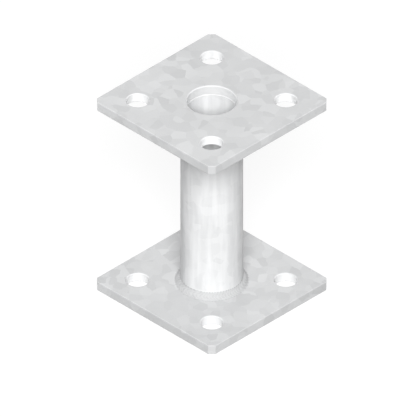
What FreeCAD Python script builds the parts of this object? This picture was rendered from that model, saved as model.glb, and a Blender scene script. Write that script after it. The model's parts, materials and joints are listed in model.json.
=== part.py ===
import FreeCAD, Part
import os
import Sketcher

# Timber post base: a welded steel stand-off that holds a post clear of wet ground.
# Two equal square plates with clipped corners carry four bolt holes each. A short length of
# round tube stands between them, butted against both plates and joined by a fillet weld at
# each end. The plates' middle hole is as wide as the tube's bore, so the part drains through.
# Frame: origin at the middle of the underside, +Z up, plate sides along X and Y. Millimetres.

# Each row is one driving size: its name, its value in millimetres (or a count), what it is.
SIZES = [
    ("overall_height", 110.0, "underside of the base plate to the top of the head plate"),
    ("plate_side", 80.0, "side of each square plate"),
    ("plate_thickness", 5.0, "thickness of each plate"),
    ("corner_clip", 2.6, "leg of the cut across each corner"),
    ("edge_round", 0.4, "rounding along each plate's outer edges"),
    ("bolt_hole", 11.0, "diameter of a bolt hole"),
    ("bolt_rim_chamfer", 0.4, "chamfer on both rims of a bolt hole"),
    ("bolt_spacing", 50.0, "bolt hole to bolt hole, along X and along Y"),
    ("bolt_count", 4, "bolt holes in each plate"),
    ("middle_rim_chamfer", 0.5, "chamfer on the middle hole's rim, on the face away from the tube"),
    ("tube_outside", 30.0, "outer diameter of the tube"),
    ("tube_wall", 3.0, "wall of the tube"),
    ("tube_deburr", 0.4, "chamfer inside each sawn end of the tube"),
    ("weld_leg", 2.5, "reach of each weld along the plate and up the tube"),
    ("weld_crown", 0.15, "how far the weld's face bulges past the line between its toes"),
]

# Lengths under this count as nothing where edges are told apart.
NEAR_ZERO = 1e-6

doc = FreeCAD.newDocument("PostBase")


def make_sheet():
    """Writes the driving sizes into a sheet, one alias for each."""
    sheet = doc.addObject("Spreadsheet::Sheet", "Sizes")
    for row, (alias, value, meaning) in enumerate(SIZES, start=1):
        sheet.set(f"A{row}", meaning)
        sheet.set(f"B{row}", str(value))
        sheet.setAlias(f"B{row}", alias)
    doc.recompute()
    return sheet


def new_body(name, label):
    """An empty body with the name that its file takes."""
    body = doc.addObject("PartDesign::Body", name)
    body.Label = label
    return body


def sketch_on(body, plane_role, name):
    """A sketch laid on one of the body's own origin planes."""
    sketch = body.newObject("Sketcher::SketchObject", name)
    plane = next(item for item in body.Origin.OriginFeatures if item.Role == plane_role)
    sketch.AttachmentSupport = [(plane, "")]
    sketch.MapMode = "FlatFace"
    return sketch


def constrain(sketch, name, expression, *definition):
    """Adds a named dimension to the sketch and ties it to the sheet."""
    start_value = 1.0
    index = sketch.addConstraint(Sketcher.Constraint(*definition, start_value))
    sketch.renameConstraint(index, name)
    sketch.setExpression(f"Constraints.{name}", expression)


def add_centred_square(sketch, side):
    """A square about the sketch's origin, drawn small and then sized by its one dimension."""
    corners = [FreeCAD.Vector(x, y, 0) for x, y in [(-1, -1), (1, -1), (1, 1), (-1, 1)]]
    for first, second in zip(corners, corners[1:] + corners[:1]):
        sketch.addGeometry(Part.LineSegment(first, second))
    for line in range(4):
        sketch.addConstraint(Sketcher.Constraint("Coincident", line, 2, (line + 1) % 4, 1))
        direction = "Horizontal" if line % 2 == 0 else "Vertical"
        sketch.addConstraint(Sketcher.Constraint(direction, line))
    sketch.addConstraint(Sketcher.Constraint("Equal", 0, 1))
    sketch.addConstraint(Sketcher.Constraint("Symmetric", 0, 1, 2, 1, -1, 1))
    constrain(sketch, "side", side, "Distance", 0)


def add_circle(sketch, diameter, name, across=None):
    """A circle at the sketch's origin, or as far out along X and Y as the expression says."""
    drawn_at = FreeCAD.Vector(1, 1, 0)
    upwards = FreeCAD.Vector(0, 0, 1)
    index = sketch.addGeometry(Part.Circle(drawn_at, upwards, 1))
    constrain(sketch, name, diameter, "Diameter", index)
    if across is None:
        sketch.addConstraint(Sketcher.Constraint("Coincident", index, 3, -1, 1))
    else:
        constrain(sketch, name + "_x", across, "DistanceX", -1, 1, index, 3)
        constrain(sketch, name + "_y", across, "DistanceY", -1, 1, index, 3)


def pad(body, sketch, name, length):
    """Raises the sketch by the length."""
    feature = body.newObject("PartDesign::Pad", name)
    feature.Profile = sketch
    feature.setExpression("Length", length)
    return feature


def cut_through(body, sketch, name):
    """Cuts the sketch upwards through the whole body."""
    feature = body.newObject("PartDesign::Pocket", name)
    feature.Profile = sketch
    feature.Type = "ThroughAll"
    feature.Reversed = True
    return feature


def edge_names(shape, wanted):
    """The names of the edges that pass the test, as dress-up features ask for them."""
    return [f"Edge{i}" for i, edge in enumerate(shape.Edges, start=1) if wanted(edge)]


def dress(body, kind, name, size, wanted, amount):
    """A fillet or chamfer on the edges that pass the test."""
    base = body.Tip
    feature = body.newObject(kind, name)
    feature.Base = (base, edge_names(base.Shape, wanted))
    feature.setExpression(size, amount)
    doc.recompute()


def is_upright(edge):
    """True for a straight edge along Z."""
    return (
        isinstance(edge.Curve, Part.Line)
        and abs(edge.tangentAt(edge.FirstParameter).z) > 1 - NEAR_ZERO
    )


def is_side_rim(edge):
    """True for a straight edge that lies level."""
    return isinstance(edge.Curve, Part.Line) and not is_upright(edge)


def is_hole_rim(edge):
    """True for a full circle."""
    return isinstance(edge.Curve, Part.Circle)


def is_centred(edge):
    """True for a full circle about the Z axis."""
    centre = edge.BoundBox.Center
    return is_hole_rim(edge) and abs(centre.x) + abs(centre.y) < NEAR_ZERO


def place(body, height, turned_over=False):
    """Sets the body at a height given by an expression, upside down if asked."""
    if turned_over:
        half_turn = FreeCAD.Rotation(FreeCAD.Vector(1, 0, 0), 180)
        body.Placement = FreeCAD.Placement(FreeCAD.Vector(), half_turn)
    body.setExpression("Placement.Base.z", height)


def make_plate(name, label):
    """One square plate, lying on Z = 0 with the face that meets the tube underneath."""
    body = new_body(name, label)
    outline = sketch_on(body, "XY_Plane", name + "Outline")
    add_centred_square(outline, "Sizes.plate_side")
    pad(body, outline, name + "Blank", "Sizes.plate_thickness")
    doc.recompute()
    dress(body, "PartDesign::Chamfer", name + "Corners", "Size", is_upright, "Sizes.corner_clip")
    dress(body, "PartDesign::Fillet", name + "Edges", "Radius", is_side_rim, "Sizes.edge_round")

    # One bolt hole on the diagonal, repeated about the middle.
    bolt_sketch = sketch_on(body, "XY_Plane", name + "BoltHoleSketch")
    add_circle(bolt_sketch, "Sizes.bolt_hole", "bolt_hole", "Sizes.bolt_spacing / 2")
    bolt_hole = cut_through(body, bolt_sketch, name + "BoltHole")
    bolt_pattern = body.newObject("PartDesign::PolarPattern", name + "BoltHoles")
    bolt_pattern.Originals = [bolt_hole]
    bolt_pattern.Axis = (bolt_sketch, ["N_Axis"])
    bolt_pattern.Angle = 360
    bolt_pattern.setExpression("Occurrences", "Sizes.bolt_count")
    body.Tip = bolt_pattern
    doc.recompute()
    dress(body, "PartDesign::Chamfer", name + "BoltRims", "Size", is_hole_rim, "Sizes.bolt_rim_chamfer")

    # The middle hole keeps a sharp rim underneath, where the tube's end seats.
    middle_sketch = sketch_on(body, "XY_Plane", name + "MiddleHoleSketch")
    add_circle(middle_sketch, "Sizes.tube_outside - 2 * Sizes.tube_wall", "middle_hole")
    cut_through(body, middle_sketch, name + "MiddleHole")
    doc.recompute()

    def is_outer_rim(edge):
        return is_centred(edge) and edge.BoundBox.ZMax > NEAR_ZERO

    dress(body, "PartDesign::Chamfer", name + "Rim", "Size", is_outer_rim, "Sizes.middle_rim_chamfer")
    return body


def make_tube(name, label):
    """The round tube, standing on Z = 0, with both ends deburred inside."""
    body = new_body(name, label)
    section = sketch_on(body, "XY_Plane", name + "Section")
    add_circle(section, "Sizes.tube_outside", "outside")
    add_circle(section, "Sizes.tube_outside - 2 * Sizes.tube_wall", "bore")
    pad(body, section, name + "Length", "Sizes.overall_height - 2 * Sizes.plate_thickness")
    doc.recompute()
    bore_radius = float(sheet.tube_outside) / 2 - float(sheet.tube_wall)

    def is_bore_rim(edge):
        return is_centred(edge) and abs(edge.Curve.Radius - bore_radius) < NEAR_ZERO

    dress(body, "PartDesign::Chamfer", name + "Deburr", "Size", is_bore_rim, "Sizes.tube_deburr")
    return body


def make_weld(name, label):
    """The fillet weld round the tube's foot: a three-cornered section with a crowned face."""
    body = new_body(name, label)
    section = sketch_on(body, "XZ_Plane", name + "Section")
    tube_radius = float(sheet.tube_outside) / 2
    leg = float(sheet.weld_leg)
    crown = float(sheet.weld_crown)
    root = FreeCAD.Vector(tube_radius, 0, 0)
    plate_toe = FreeCAD.Vector(tube_radius + leg, 0, 0)
    tube_toe = FreeCAD.Vector(tube_radius, leg, 0)
    bulge = leg / 2 + crown / 2**0.5
    crest = FreeCAD.Vector(tube_radius + bulge, bulge, 0)
    along_plate = section.addGeometry(Part.LineSegment(root, plate_toe))
    up_tube = section.addGeometry(Part.LineSegment(tube_toe, root))
    face = section.addGeometry(Part.Arc(plate_toe, crest, tube_toe))
    section.addConstraint(Sketcher.Constraint("Coincident", along_plate, 1, up_tube, 2))
    section.addConstraint(Sketcher.Constraint("Coincident", along_plate, 2, face, 1))
    section.addConstraint(Sketcher.Constraint("Coincident", up_tube, 1, face, 2))
    section.addConstraint(Sketcher.Constraint("Horizontal", along_plate))
    section.addConstraint(Sketcher.Constraint("Vertical", up_tube))
    section.addConstraint(Sketcher.Constraint("PointOnObject", along_plate, 1, -1))
    constrain(section, "tube_radius", "Sizes.tube_outside / 2", "DistanceX", -1, 1, along_plate, 1)
    constrain(section, "plate_leg", "Sizes.weld_leg", "DistanceX", along_plate, 1, along_plate, 2)
    constrain(section, "tube_leg", "Sizes.weld_leg", "DistanceY", up_tube, 2, up_tube, 1)
    # An arc over a chord of leg * sqrt(2) that rises by the crown has this radius.
    arc_radius = "(Sizes.weld_leg ^ 2 / 2 + Sizes.weld_crown ^ 2) / (2 * Sizes.weld_crown)"
    constrain(section, "face_radius", arc_radius, "Radius", face)
    ring = body.newObject("PartDesign::Revolution", name + "Ring")
    ring.Profile = section
    ring.ReferenceAxis = (section, ["V_Axis"])
    ring.Angle = 360
    doc.recompute()
    return body


def check_model(bodies):
    """Stops the run if any object failed or a body isn't one sound solid."""
    doc.recompute()
    for item in doc.Objects:
        if "Invalid" in item.State or "Error" in item.State:
            raise RuntimeError(f"{item.Label} failed: {item.State}")
    for body in bodies:
        shape = body.Shape
        if shape.isNull() or not shape.isValid() or len(shape.Solids) != 1:
            raise RuntimeError(f"{body.Label} isn't one valid solid")
        print(f"{body.Label}: volume {shape.Volume:.1f} mm3, box {shape.BoundBox}")


sheet = make_sheet()

base_plate = make_plate("BasePlate", "base_plate")
place(base_plate, "Sizes.plate_thickness", turned_over=True)

head_plate = make_plate("HeadPlate", "head_plate")
place(head_plate, "Sizes.overall_height - Sizes.plate_thickness")

tube = make_tube("Tube", "tube")
place(tube, "Sizes.plate_thickness")

base_weld = make_weld("BaseWeld", "base_weld")
place(base_weld, "Sizes.plate_thickness")

head_weld = make_weld("HeadWeld", "head_weld")
place(head_weld, "Sizes.overall_height - Sizes.plate_thickness", turned_over=True)

pieces = [base_plate, head_plate, tube, base_weld, head_weld]
check_model(pieces)

os.makedirs("parts", exist_ok=True)
for piece in pieces:
    piece.Shape.exportStep(f"parts/{piece.Label}.step")
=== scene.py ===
# %% [markdown]
# # A timber post base in galvanised steel
#
# This part holds the foot of a timber post clear of wet ground. Two square plates are welded
# to the ends of a short round tube, and the whole piece is then dipped in molten zinc.
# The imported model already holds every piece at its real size. What is added here is what the
# welder and the zinc bath leave behind: rippled weld beads, and a pale skin of zinc crystals.

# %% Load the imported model
import json
import math

import bpy
import numpy as np
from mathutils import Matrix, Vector


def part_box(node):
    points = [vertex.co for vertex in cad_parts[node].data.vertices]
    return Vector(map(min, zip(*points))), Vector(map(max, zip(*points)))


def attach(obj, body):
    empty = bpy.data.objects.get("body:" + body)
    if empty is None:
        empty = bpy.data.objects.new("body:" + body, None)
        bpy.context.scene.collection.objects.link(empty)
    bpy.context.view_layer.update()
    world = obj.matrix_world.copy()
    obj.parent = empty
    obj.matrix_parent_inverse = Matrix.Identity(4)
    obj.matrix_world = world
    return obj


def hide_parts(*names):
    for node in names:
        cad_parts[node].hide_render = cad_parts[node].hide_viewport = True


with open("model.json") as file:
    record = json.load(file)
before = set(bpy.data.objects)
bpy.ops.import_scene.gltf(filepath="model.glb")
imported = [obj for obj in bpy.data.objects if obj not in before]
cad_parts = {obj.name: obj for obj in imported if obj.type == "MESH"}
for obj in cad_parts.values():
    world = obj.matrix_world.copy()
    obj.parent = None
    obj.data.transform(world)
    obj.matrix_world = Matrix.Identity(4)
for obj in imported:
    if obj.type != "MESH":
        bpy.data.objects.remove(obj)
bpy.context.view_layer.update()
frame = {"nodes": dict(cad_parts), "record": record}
print("pieces in the packed model:", sorted(frame["nodes"]))

# %% [markdown]
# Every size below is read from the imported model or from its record, so the new surfaces meet
# the plates and the tube exactly. Lengths are in metres.

# %% Read the sizes
MM = 0.001
base_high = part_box("base_plate")[1]
head_low, head_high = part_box("head_plate")
tube_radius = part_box("tube")[1].x
weld_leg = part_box("base_weld")[1].z - base_high.z
mounts = {mount["name"]: mount["dims"] for mount in frame["record"]["mounts"]}
bore_radius = mounts["drain_bore"]["r_mm"] * MM
bolt_radius = mounts["anchor_bolts"]["hole_r_mm"] * MM
bolt_offset = mounts["anchor_bolts"]["spacing_x_mm"] * MM / 2
middle = Vector((0, 0, head_high.z / 2))
print(f"plates {2 * base_high.x / MM:.0f} mm wide, tube {2 * tube_radius / MM:.0f} mm across")

# %% [markdown]
# The picture is an isometric drawing: a parallel view, turned 45 degrees about the upright and
# tipped until all three axes look equally long. An orthographic camera gives just that. Its
# scale is the drawing's own, so one picture pixel covers the same length in both.

# %% Set up the isometric camera
PICTURE_SIDE = 417
PIXELS_PER_MM = 2.0937
MIDDLE_PIXEL_X = 211.75
MIDDLE_PIXEL_Y = 194.13
CAMERA_TURN = 45
CAMERA_HEIGHT = math.degrees(math.asin(math.tan(math.radians(30))))
CAMERA_DISTANCE = 0.8


def towards(turn, height):
    """A unit vector at a turn from the front about the upright, and a height over level, in degrees."""
    turn, height = math.radians(turn), math.radians(height)
    level = math.cos(height)
    return Vector((math.sin(turn) * level, -math.cos(turn) * level, math.sin(height)))


to_camera = towards(CAMERA_TURN, CAMERA_HEIGHT)
picture_right = towards(CAMERA_TURN + 90, 0)
picture_up = to_camera.cross(picture_right)
metres_per_pixel = MM / PIXELS_PER_MM
aim = (
    middle
    - picture_right * (MIDDLE_PIXEL_X - PICTURE_SIDE / 2) * metres_per_pixel
    + picture_up * (MIDDLE_PIXEL_Y - PICTURE_SIDE / 2) * metres_per_pixel
)
camera_data = bpy.data.cameras.new("isometric_camera")
camera_data.type = "ORTHO"
camera_data.ortho_scale = PICTURE_SIDE * metres_per_pixel
camera = bpy.data.objects.new("isometric_camera", camera_data)
camera.location = aim + to_camera * CAMERA_DISTANCE
camera.rotation_euler = to_camera.to_track_quat("Z", "Y").to_euler()
bpy.context.scene.collection.objects.link(camera)
bpy.context.scene.camera = camera
print(f"camera tipped {CAMERA_HEIGHT:.2f} degrees, view {camera_data.ortho_scale / MM:.1f} mm across")

# %% [markdown]
# Node materials are easier to read when each node is one line. The first two helpers do that: one
# fills a socket with a plain value or with another node's output, the other adds a node and
# fills its sockets. The rest are the sums and mixes that the materials here need.

# %% Helpers for node trees
def fill(socket, value):
    """Links the socket to another node's output, or sets it to a plain value."""
    if isinstance(value, bpy.types.NodeSocket):
        socket.id_data.links.new(value, socket)
    else:
        socket.default_value = value


def add_node(tree, kind, sockets=None, **settings):
    """Adds a node; settings are its own options, and sockets maps input names or numbers to values."""
    node = tree.nodes.new(kind)
    for name, value in settings.items():
        setattr(node, name, value)
    for name, value in (sockets or {}).items():
        fill(node.inputs[name], value)
    return node


def calculate(tree, operation, first, second=0.0, third=0.0):
    """One arithmetic node on numbers. MULTIPLY_ADD is first * second + third."""
    node = add_node(tree, "ShaderNodeMath", {0: first, 1: second, 2: third}, operation=operation)
    return node.outputs[0]


def calculate_vector(tree, operation, first, second=(0, 0, 0)):
    """One arithmetic node on one or two vectors."""
    node = add_node(tree, "ShaderNodeVectorMath", {0: first, 1: second}, operation=operation)
    return node.outputs[0]


def remap(tree, value, start, end, low=0.0, high=1.0):
    """Turns start..end into low..high, and clips at both ends."""
    sockets = {"Value": value, "From Min": start, "From Max": end, "To Min": low, "To Max": high}
    return add_node(tree, "ShaderNodeMapRange", sockets).outputs[0]


def mix_colours(tree, share, first, second):
    """The first colour where share is 0, the second where it is 1."""
    node = add_node(tree, "ShaderNodeMix", {0: share, 6: first, 7: second}, data_type="RGBA")
    return node.outputs[2]


def new_material(name):
    """An empty node material."""
    material = bpy.data.materials.new(name)
    material.use_nodes = True
    material.node_tree.nodes.clear()
    return material


print("helpers for node trees are ready")

# %% [markdown]
# The floor is a matt sheet. To the object it is plain grey card that throws little light back up,
# so the sides of the plates stay a shade darker than their tops. To the camera, and in
# reflections, it gives off white of its own, so it reads as white paper and still takes the
# object's soft shadow. Seen from underneath it is clear, so that the underside of the base can be
# looked at too.

# %% Lay the floor
FLOOR_HALF = 3.0
FLOOR_COLOUR = (0.15, 0.15, 0.15, 1)
FLOOR_WHITE = 0.88


def seen_directly(tree):
    """1 for the camera, a mirror reflection or a see-through surface, 0 for plain bounced light."""
    rays = add_node(tree, "ShaderNodeLightPath").outputs
    mirrored = calculate(tree, "MAXIMUM", rays["Is Glossy Ray"], rays["Is Transmission Ray"])
    return calculate(tree, "MAXIMUM", rays["Is Camera Ray"], mirrored)


def floor_material():
    """Matt card with white of its own for the camera, clear from underneath."""
    material = new_material("pale_floor")
    tree = material.node_tree
    card = add_node(tree, "ShaderNodeBsdfDiffuse", {"Color": FLOOR_COLOUR})
    glow_strength = calculate(tree, "MULTIPLY", seen_directly(tree), FLOOR_WHITE)
    glow = add_node(tree, "ShaderNodeEmission", {"Strength": glow_strength})
    paper = add_node(tree, "ShaderNodeAddShader", {0: card.outputs[0], 1: glow.outputs[0]})
    clear = add_node(tree, "ShaderNodeBsdfTransparent")
    underneath = add_node(tree, "ShaderNodeNewGeometry").outputs["Backfacing"]
    sides = {0: underneath, 1: paper.outputs[0], 2: clear.outputs[0]}
    either = add_node(tree, "ShaderNodeMixShader", sides)
    add_node(tree, "ShaderNodeOutputMaterial", {"Surface": either.outputs[0]})
    return material


def lay_floor():
    """A wide level square that the base plate rests on."""
    corners = np.array([(-1, -1, 0), (1, -1, 0), (1, 1, 0), (-1, 1, 0)]) * FLOOR_HALF
    mesh = bpy.data.meshes.new("floor")
    mesh.from_pydata(corners.tolist(), [], [(0, 1, 2, 3)])
    mesh.materials.append(floor_material())
    floor = bpy.data.objects.new("floor", mesh)
    bpy.context.scene.collection.objects.link(floor)
    return floor


floor = lay_floor()
print(floor.name, "reaches", FLOOR_HALF, "m each way")

# %% [markdown]
# In the drawing the top and both sides of a plate have one tone, the tube is nearly white down
# its middle, and it turns grey towards both edges. Light that comes along the line of sight does
# just that, because each of the three faces then meets it at the same angle. So the main lamp
# stands behind the camera. It is set a little higher than the camera, which darkens the sides of
# a plate slightly, so that their edges read. A wide weak lamp behind keeps the back from going
# black. Zinc would mirror a lamp as a glaring patch, so both are hidden from reflections, and the
# soft sheen comes from white surroundings.

# %% Light the studio
SKY_LIGHT = 0.07
MAIN_LAMP = {"turn": 45, "height": 39, "side": 1.0, "level": 1.5}
BACK_LAMP = {"turn": 225, "height": 30, "side": 2.4, "level": 0.2}
LAMP_DISTANCE = 2.5


def soft_box(name, turn, height, side, level):
    """A square lamp aimed at the part, with its turn and height in degrees.

    level is how bright it alone makes white card that faces it, where 1 is white. The card sees
    the lamp over a share of its half sky, 4 / pi * x * atan(x), with x the lamp's half side over
    the distance to the middle of one of its edges, and the lamp's own brightness is its power
    over pi times its area.
    """
    away = towards(turn, height)
    slope = side / 2 / math.hypot(LAMP_DISTANCE, side / 2)
    share = 4 / math.pi * slope * math.atan(slope)
    data = bpy.data.lights.new(name, "AREA")
    data.size = side
    data.energy = level / share * math.pi * side**2
    lamp = bpy.data.objects.new(name, data)
    lamp.location = middle + away * LAMP_DISTANCE
    lamp.rotation_euler = away.to_track_quat("Z", "Y").to_euler()
    lamp.visible_glossy = False
    bpy.context.scene.collection.objects.link(lamp)
    return lamp


def white_world():
    """White where it is looked at, and a weaker even sky as a light."""
    world = bpy.data.worlds.new("studio")
    world.use_nodes = True
    tree = world.node_tree
    tree.nodes.clear()
    strength = remap(tree, seen_directly(tree), 0.0, 1.0, SKY_LIGHT, 1.0)
    sky = {"Color": (1, 1, 1, 1), "Strength": strength}
    background = add_node(tree, "ShaderNodeBackground", sky)
    add_node(tree, "ShaderNodeOutputWorld", {"Surface": background.outputs[0]})
    bpy.context.scene.world = world


main_lamp = soft_box("main_lamp", **MAIN_LAMP)
back_lamp = soft_box("back_lamp", **BACK_LAMP)
white_world()
bpy.context.scene.view_settings.view_transform = "Standard"
print("lamps:", main_lamp.name, back_lamp.name)

# %% [markdown]
# Hot-dip zinc freezes in flat crystals some millimetres across, each turned its own way, so
# each throws the light a little differently. An image of them would have to be wrapped round the
# part, with seams. A Voronoi pattern is worked out in space instead, so it runs on over every edge.
# Each of its cells has one random colour, which serves as a shade, a gloss and a small tilt of the
# surface. The same colour, taken as a direction, also aims the fine needles that a crystal grows by.

# %% Crystals of zinc
NEEDLE_SPACING = 0.6 * MM
WAVER = 0.5
WAVERS_PER_CRYSTAL = 0.9


def noise(tree, position, scale, detail):
    """A noise node: soft random values round 0.5, in patches about 1 / scale metres across."""
    sockets = {"Vector": position, "Scale": scale, "Detail": detail}
    return add_node(tree, "ShaderNodeTexNoise", sockets)


def centred(tree, colour, size):
    """A colour's three values moved to lie round zero, as a vector up to half of size each way."""
    moved = calculate_vector(tree, "SUBTRACT", colour, (0.5, 0.5, 0.5))
    scaled = add_node(tree, "ShaderNodeVectorMath", {0: moved, "Scale": size}, operation="SCALE")
    return scaled.outputs[0]


def crystals(tree, position, size):
    """Each crystal's random colour, and the needles in it, as a wave from -1 to 1.

    The borders waver a little, because the cells are looked up at places shifted by soft noise.
    The needles are a sine of the distance along the cell's own direction.
    """
    waver = noise(tree, position, WAVERS_PER_CRYSTAL / size, detail=3.0).outputs["Color"]
    moved = calculate_vector(tree, "ADD", position, centred(tree, waver, WAVER * size))
    cells = add_node(tree, "ShaderNodeTexVoronoi", {"Vector": moved, "Scale": 1 / size})
    cell = cells.outputs["Color"]
    direction = calculate_vector(tree, "NORMALIZE", centred(tree, cell, 1.0))
    along = add_node(tree, "ShaderNodeVectorMath", {0: direction, 1: moved}, operation="DOT_PRODUCT")
    turns = calculate(tree, "MULTIPLY", along.outputs["Value"], 2 * math.pi / NEEDLE_SPACING)
    return cell, calculate(tree, "SINE", turns)


print(f"needles are {NEEDLE_SPACING / MM:.1f} mm apart")

# %% [markdown]
# The coat isn't even. It is a little thicker, and so paler and smoother, wherever the liquid
# zinc hung back as it drained: in and round the holes of a plate, in streaks down the tube, and
# in the valleys of a weld. One zinc skin takes these places as a pattern from 0 to 1, and each
# piece brings its own. In the holes of a plate that pale grey is also painted light: it is set
# paler than thicker zinc alone would be, to lift the shade inside the holes.
#
# Bare zinc shines as metals do, but in air it soon grows a dull grey skin that scatters light like
# chalk. So the surface is only partly metallic. What makes it look like zinc is its crystals,
# with soft clouds of tone across them, needles in them, and fine bumps over all.

# %% A skin of zinc
SURFACE_GLINT = 0.3
CLOUDS_PER_METRE = 38.0
GRAINS_PER_METRE = 1100.0
CLOUD_SHARE = 0.55
NEEDLE_TONE = 0.025
THICK_RISE = 0.05
NEEDLE_RISE = 0.003
BLUENESS = 0.005


def zinc_grey(level):
    """A grey with a trace of blue, which zinc has."""
    return (level, level + BLUENESS, level + 2 * BLUENESS, 1)


def zinc(name, thickness_and_painted_light, dark, light, pale, metallic, gloss, crystal_size, tilt, grain):
    """Satin zinc over Object coordinates.

    thickness_and_painted_light(tree, position) gives where the zinc lies thicker, and on the
    plates also painted light that lifts the shade in the holes. dark and light are the ends of the
    zinc's grey, and pale is its grey in those places. metallic is how much of it still shines as
    metal, and gloss its roughness where smoothest and roughest. tilt is the lean of a crystal.
    grain is the height of the finest bumps, and like the two rises above it is in millimetres.
    """
    material = new_material(name)
    tree = material.node_tree
    position = add_node(tree, "ShaderNodeTexCoord").outputs["Object"]
    cell, needles = crystals(tree, position, crystal_size)
    shade, gleam, _ = add_node(tree, "ShaderNodeSeparateXYZ", {0: cell}).outputs
    thick_zinc_and_painted_light = thickness_and_painted_light(tree, position)
    clouds = noise(tree, position, CLOUDS_PER_METRE, detail=4.0).outputs[0]
    grains = noise(tree, position, GRAINS_PER_METRE, detail=3.0).outputs[0]

    tone = calculate(tree, "MULTIPLY", clouds, CLOUD_SHARE)
    tone = calculate(tree, "MULTIPLY_ADD", shade, 1 - CLOUD_SHARE, tone)
    tone = calculate(tree, "MULTIPLY_ADD", needles, NEEDLE_TONE, tone)
    thin_colour = mix_colours(tree, tone, zinc_grey(dark), zinc_grey(light))
    # Where the mask is 1 the grey turns pale: thicker zinc, and in a plate's holes also painted light.
    colour = mix_colours(tree, thick_zinc_and_painted_light, thin_colour, zinc_grey(pale))
    dullness = calculate(tree, "SUBTRACT", gleam, thick_zinc_and_painted_light)
    roughness = remap(tree, dullness, -1.0, 1.0, gloss[0], gloss[1])

    height = calculate(tree, "MULTIPLY", needles, NEEDLE_RISE)
    height = calculate(tree, "MULTIPLY_ADD", grains, grain, height)
    height = calculate(tree, "MULTIPLY_ADD", thick_zinc_and_painted_light, THICK_RISE, height)
    facing = add_node(tree, "ShaderNodeNewGeometry").outputs["Normal"]
    leaning = calculate_vector(tree, "ADD", facing, centred(tree, cell, tilt))
    leaning = calculate_vector(tree, "NORMALIZE", leaning)
    relief = {"Height": height, "Distance": MM, "Strength": 1.0, "Normal": leaning}
    bumps = add_node(tree, "ShaderNodeBump", relief).outputs[0]

    varied = {"Base Color": colour, "Roughness": roughness, "Normal": bumps}
    metal = add_node(tree, "ShaderNodeBsdfPrincipled", varied)
    metal.inputs["Metallic"].default_value = metallic
    metal.inputs["Specular IOR Level"].default_value = SURFACE_GLINT
    add_node(tree, "ShaderNodeOutputMaterial", {"Surface": metal.outputs[0]})
    return material


print("the dull skin on the zinc glints by", SURFACE_GLINT)

# %% [markdown]
# On a plate the zinc lies thicker in its holes and in a narrow ring round each, and their pale
# grey is also painted light, which lifts the shade inside the holes. The rings could be painted on
# the points of the mesh, but it has few points there. The distance from a hole's edge
# is exact anywhere. The plate is the same in all four quarters, so one quarter is enough: with x
# and y taken without their signs, one hole's place stands for all four.

# %% Finish of the plates
RIM_WIDTH = 0.4 * MM


def hole_gap(tree, x, y, offset, radius):
    """How far (x, y) lies outside a hole of that radius round (offset, offset)."""
    across = calculate(tree, "SUBTRACT", x, offset)
    along = calculate(tree, "SUBTRACT", y, offset)
    from_middle = add_node(tree, "ShaderNodeCombineXYZ", {"X": across, "Y": along}).outputs[0]
    distance = add_node(tree, "ShaderNodeVectorMath", {0: from_middle}, operation="LENGTH")
    return calculate(tree, "SUBTRACT", distance.outputs["Value"], radius)


def hole_rims(tree, position):
    """1 in a plate's holes, falling to 0 over the rim width round the nearest of them."""
    folded = calculate_vector(tree, "ABSOLUTE", position)
    x, y, _ = add_node(tree, "ShaderNodeSeparateXYZ", {0: folded}).outputs
    bolt_gap = hole_gap(tree, x, y, bolt_offset, bolt_radius)
    middle_gap = hole_gap(tree, x, y, 0.0, bore_radius)
    return remap(tree, calculate(tree, "MINIMUM", bolt_gap, middle_gap), RIM_WIDTH, 0.0)


# The plates' pale grey is set well above light, so their hole walls and rims are painted light that
# lifts the shade inside the holes, besides showing thicker zinc.
plate_zinc = zinc(
    "plate_zinc",
    hole_rims,
    dark=0.54,
    light=0.71,
    pale=0.84,
    metallic=0.3,
    gloss=(0.34, 0.56),
    crystal_size=5.5 * MM,
    tilt=0.05,
    grain=0.01,
)
for node in ("base_plate", "head_plate"):
    frame["nodes"][node].material_slots[0].material = plate_zinc
print("finish of both plates:", plate_zinc.name)

# %% [markdown]
# The tube hung upright as the zinc drained, so its zinc lies thicker in streaks that run along it.
# Noise gives the streaks once the height is squeezed: a patch that is round in the squeezed
# places is a long streak on the tube. Steel that holds more silicon takes a duller coat, and tube
# often does, so this finish is less metallic than that of the plates. Its greys are also painted
# paler than the plates' zinc, which is painted light: with the duller coat it makes the tube
# nearly white down its middle and grey towards its edges.

# %% Finish of the tube
STREAK_SQUEEZE = 0.12
STREAKS_PER_METRE = 260.0
NOISE_WITHOUT_STREAK = 0.4
NOISE_IN_FULL_STREAK = 0.7


def tube_streaks(tree, position):
    """Streaks along the upright, from 0 to 1, as noise over places whose height is squeezed."""
    squeezed = calculate_vector(tree, "MULTIPLY", position, (1, 1, STREAK_SQUEEZE))
    patches = noise(tree, squeezed, STREAKS_PER_METRE, detail=2.0).outputs[0]
    return remap(tree, patches, NOISE_WITHOUT_STREAK, NOISE_IN_FULL_STREAK)


# The tube's greys are painted paler than the plates' zinc of the same dip: painted light that makes its
# middle read nearly white.
tube_zinc = zinc(
    "tube_zinc",
    tube_streaks,
    dark=0.64,
    light=0.77,
    pale=0.8,
    metallic=0.15,
    gloss=(0.34, 0.56),
    crystal_size=4.5 * MM,
    tilt=0.03,
    grain=0.01,
)
frame["nodes"]["tube"].material_slots[0].material = tube_zinc
print("finish of the tube:", tube_zinc.name)

# %% [markdown]
# Over a weld the crystals stay small and dull, and zinc fills the valleys between the ripples.
# How deep a point lies is known where the bead is worked out, so the bead carries it as a value
# on each point, and the finish reads that value by its name.

# %% Finish of the welds
def weld_valleys(tree, position):
    """The bead's own value for how deep in a valley a point lies."""
    return add_node(tree, "ShaderNodeAttribute", attribute_name="valley").outputs["Fac"]


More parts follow.
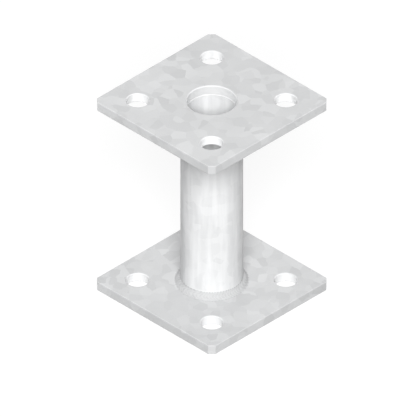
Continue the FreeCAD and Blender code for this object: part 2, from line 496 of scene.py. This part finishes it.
weld_zinc = zinc(
    "weld_zinc",
    weld_valleys,
    dark=0.46,
    light=0.6,
    pale=0.57,
    metallic=0.3,
    gloss=(0.4, 0.6),
    crystal_size=1.6 * MM,
    tilt=0.05,
    grain=0.03,
)
print("finish of the welds:", weld_zinc.name)

# %% [markdown]
# Each end of the tube is joined to its plate by one run of weld. The welder moves round in small
# steps, and every step freezes as a thin crescent over the one before. So the bead is a ring
# with a three-cornered section, whose face carries a row of crescents. It could be a smooth ring
# with bumps painted on, but the ripples break its outline, so they are real shape here.
#
# The section comes first: a slightly bulged face between the plate and the tube, which curves
# out thinly at both toes.

# %% Section of a weld bead
CROWN = 0.15 * MM
TOE_BLEND = 0.45 * MM
FACE_ROWS = 17
TOE_ROWS = 5


def section_rows(leg):
    """Points of the bead's face from the plate to the tube, out from the root, in the section's plane.

    The middle is the straight line between the ends of the legs, lifted by the crown as a
    parabola. At each end a quadratic curve turns it into the plate or the tube, with the leg's end
    as its middle control point. Returns the points, and how far across the face each lies, from
    -1 to 1.
    """
    across = np.linspace(-1, 1, FACE_ROWS)
    along = (across * (1 - TOE_BLEND / leg) + 1) / 2
    face = leg * np.stack([1 - along, along], axis=1)
    face += (CROWN * 4 * along * (1 - along) / math.sqrt(2))[:, None]
    step = np.linspace(0, 1, TOE_ROWS + 1)[:-1, None]
    corner = np.array([leg, 0.0])
    outer = np.array([leg + TOE_BLEND, 0.0])
    toe = (1 - step) ** 2 * outer + 2 * step * (1 - step) * corner + step**2 * face[0]
    rows = np.vstack([toe, face, toe[::-1, ::-1]])
    at_toe = np.ones(TOE_ROWS)
    return rows, np.concatenate([-at_toe, across, at_toe])


print("rows in a section:", len(section_rows(weld_leg)[0]))

# %% [markdown]
# Along the bead, a phase counts the ripples. It runs evenly round the tube with a slow random
# drift, since no hand is quite steady, and falls back towards both toes, which bends every ripple
# into a crescent. The run stops where it began, in a small lump.

# %% Ripples round the bead
RIPPLES = 60
COLUMNS_PER_RIPPLE = 14
RIPPLE_HEIGHT = 0.2 * MM
RIPPLE_BEND = 0.6
CRESCENT = 0.9
SCALLOP = 0.25 * MM
DRIFT = 0.5
SWELL = 0.08
STOP_HEIGHT = 0.3 * MM
STOP_WIDTH = 0.13
STOP_SWELL = 0.06


def ripple(phase):
    """One crescent, from 0 to 1: a quick rise and a slow fall, as the squared sine of a bent ramp."""
    ramp = np.mod(phase, 1.0)
    return np.sin(np.pi * ramp**RIPPLE_BEND) ** 2


def slow_waves(draw, turn, size):
    """Sine waves of 2 to 8 swings round the ring, with random heights and starts, added up."""
    waves = np.arange(2, 9)
    heights = draw.normal(0, size, len(waves)) / waves
    starts = draw.uniform(0, 2 * np.pi, len(waves))
    return (heights * np.sin(turn * waves + starts)).sum(axis=1, keepdims=True)


def bead_points(seed, stop_angle):
    """The bead as points (columns, rows, 3) that stand on z = 0 round the upright, and their valleys.

    Each section point moves out and up by its ripple's height, which fades to nothing at both toes.
    Near a toe it also slides along the plate or the tube, by the fourth power of how near it is,
    which scallops the edge. Slow waves shift the ripples and swell the section by a few percent,
    and a bell curve round stop_angle lifts the lump where the run stops. The last row is the root,
    in the corner between the plate and the tube.
    """
    draw = np.random.default_rng(seed)
    turn = np.linspace(0, 2 * np.pi, RIPPLES * COLUMNS_PER_RIPPLE, endpoint=False)[:, None]
    rows, across = section_rows(weld_leg)
    drift = slow_waves(draw, turn, DRIFT)
    phase = RIPPLES * turn / (2 * np.pi) + drift - CRESCENT * across**2
    height = ripple(phase)
    from_stop = np.angle(np.exp(1j * (turn - stop_angle)))
    stop = np.exp(-((from_stop / STOP_WIDTH) ** 2))
    fade = np.sqrt(1 - across**8)
    lift = RIPPLE_HEIGHT * (height - 0.5) * fade + STOP_HEIGHT * stop * (1 - across**2)
    scale = 1 + slow_waves(draw, turn, SWELL) + STOP_SWELL * stop
    scallop = SCALLOP * (height - 0.5)
    out = rows[:, 0] * scale + lift / math.sqrt(2) + scallop * (-across).clip(0) ** 4
    up = rows[:, 1] * scale + lift / math.sqrt(2) + scallop * across.clip(0) ** 4
    root = np.zeros_like(turn)
    radius = tube_radius + np.hstack([out.clip(0), root])
    level = np.hstack([up.clip(0), root])
    points = np.stack([radius * np.cos(turn), radius * np.sin(turn), level], axis=-1)
    return points, np.hstack([1 - height, root])


ripple_spacing = 2 * math.pi * (tube_radius + weld_leg / 2) / RIPPLES
print(f"ripples are {ripple_spacing / MM:.2f} mm apart")

# %% [markdown]
# A ring's grid wraps round both ways, so each point joins its neighbour by one roll of the array
# of point numbers. Whether the faces look outwards is settled by the sign of the volume that they
# enclose.

# %% Make both beads
SHARPEST_SMOOTH_ANGLE = math.radians(50)


def ring_mesh(name, points):
    """A closed ring from points (columns, rows, 3).

    Six times the volume is the sum, over both triangles of every face, of the triple product of
    their corners. It is positive where the faces look outwards.
    """
    columns, rows = points.shape[:2]
    index = np.arange(columns * rows).reshape(columns, rows)
    beside = np.roll(index, -1, axis=0)
    quads = np.stack([index, beside, np.roll(beside, -1, axis=1), np.roll(index, -1, axis=1)], axis=-1)
    quads = quads.reshape(-1, 4)
    corner = points.reshape(-1, 3)
    first, second, third, fourth = (corner[column] for column in quads.T)
    six_volumes = (first * (np.cross(second, third) + np.cross(third, fourth))).sum()
    if six_volumes < 0:
        quads = quads[:, ::-1]
    print(name, "holds", round(abs(six_volumes) / 6 / MM**3), "cubic millimetres of weld")
    mesh = bpy.data.meshes.new(name)
    mesh.vertices.add(len(corner))
    mesh.vertices.foreach_set("co", corner.ravel())
    mesh.loops.add(quads.size)
    mesh.loops.foreach_set("vertex_index", quads.ravel())
    mesh.polygons.add(len(quads))
    mesh.polygons.foreach_set("loop_start", np.arange(len(quads)) * 4)
    mesh.update(calc_edges=True)
    return mesh


def weld_bead(name, node, points, valley):
    """Makes a bead that stands for its plain packed ring, with its valleys as a value on each point."""
    mesh = ring_mesh(name, points)
    mesh.attributes.new("valley", "FLOAT", "POINT").data.foreach_set("value", valley.ravel())
    mesh.shade_smooth()
    mesh.set_sharp_from_angle(angle=SHARPEST_SMOOTH_ANGLE)
    mesh.materials.append(weld_zinc)
    bead = bpy.data.objects.new(name, mesh)
    bpy.context.scene.collection.objects.link(bead)
    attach(bead, "root")
    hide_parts(node)
    print(name, "has", len(mesh.polygons), "faces")


foot_points, foot_valley = bead_points(seed=3, stop_angle=math.radians(150))
foot_points[..., 2] += base_high.z
head_points, head_valley = bead_points(seed=8, stop_angle=math.radians(60))
head_points[..., 2] = head_low.z - head_points[..., 2]
weld_bead("foot_bead", "base_weld", foot_points, foot_valley)
weld_bead("head_bead", "head_weld", head_points, head_valley)
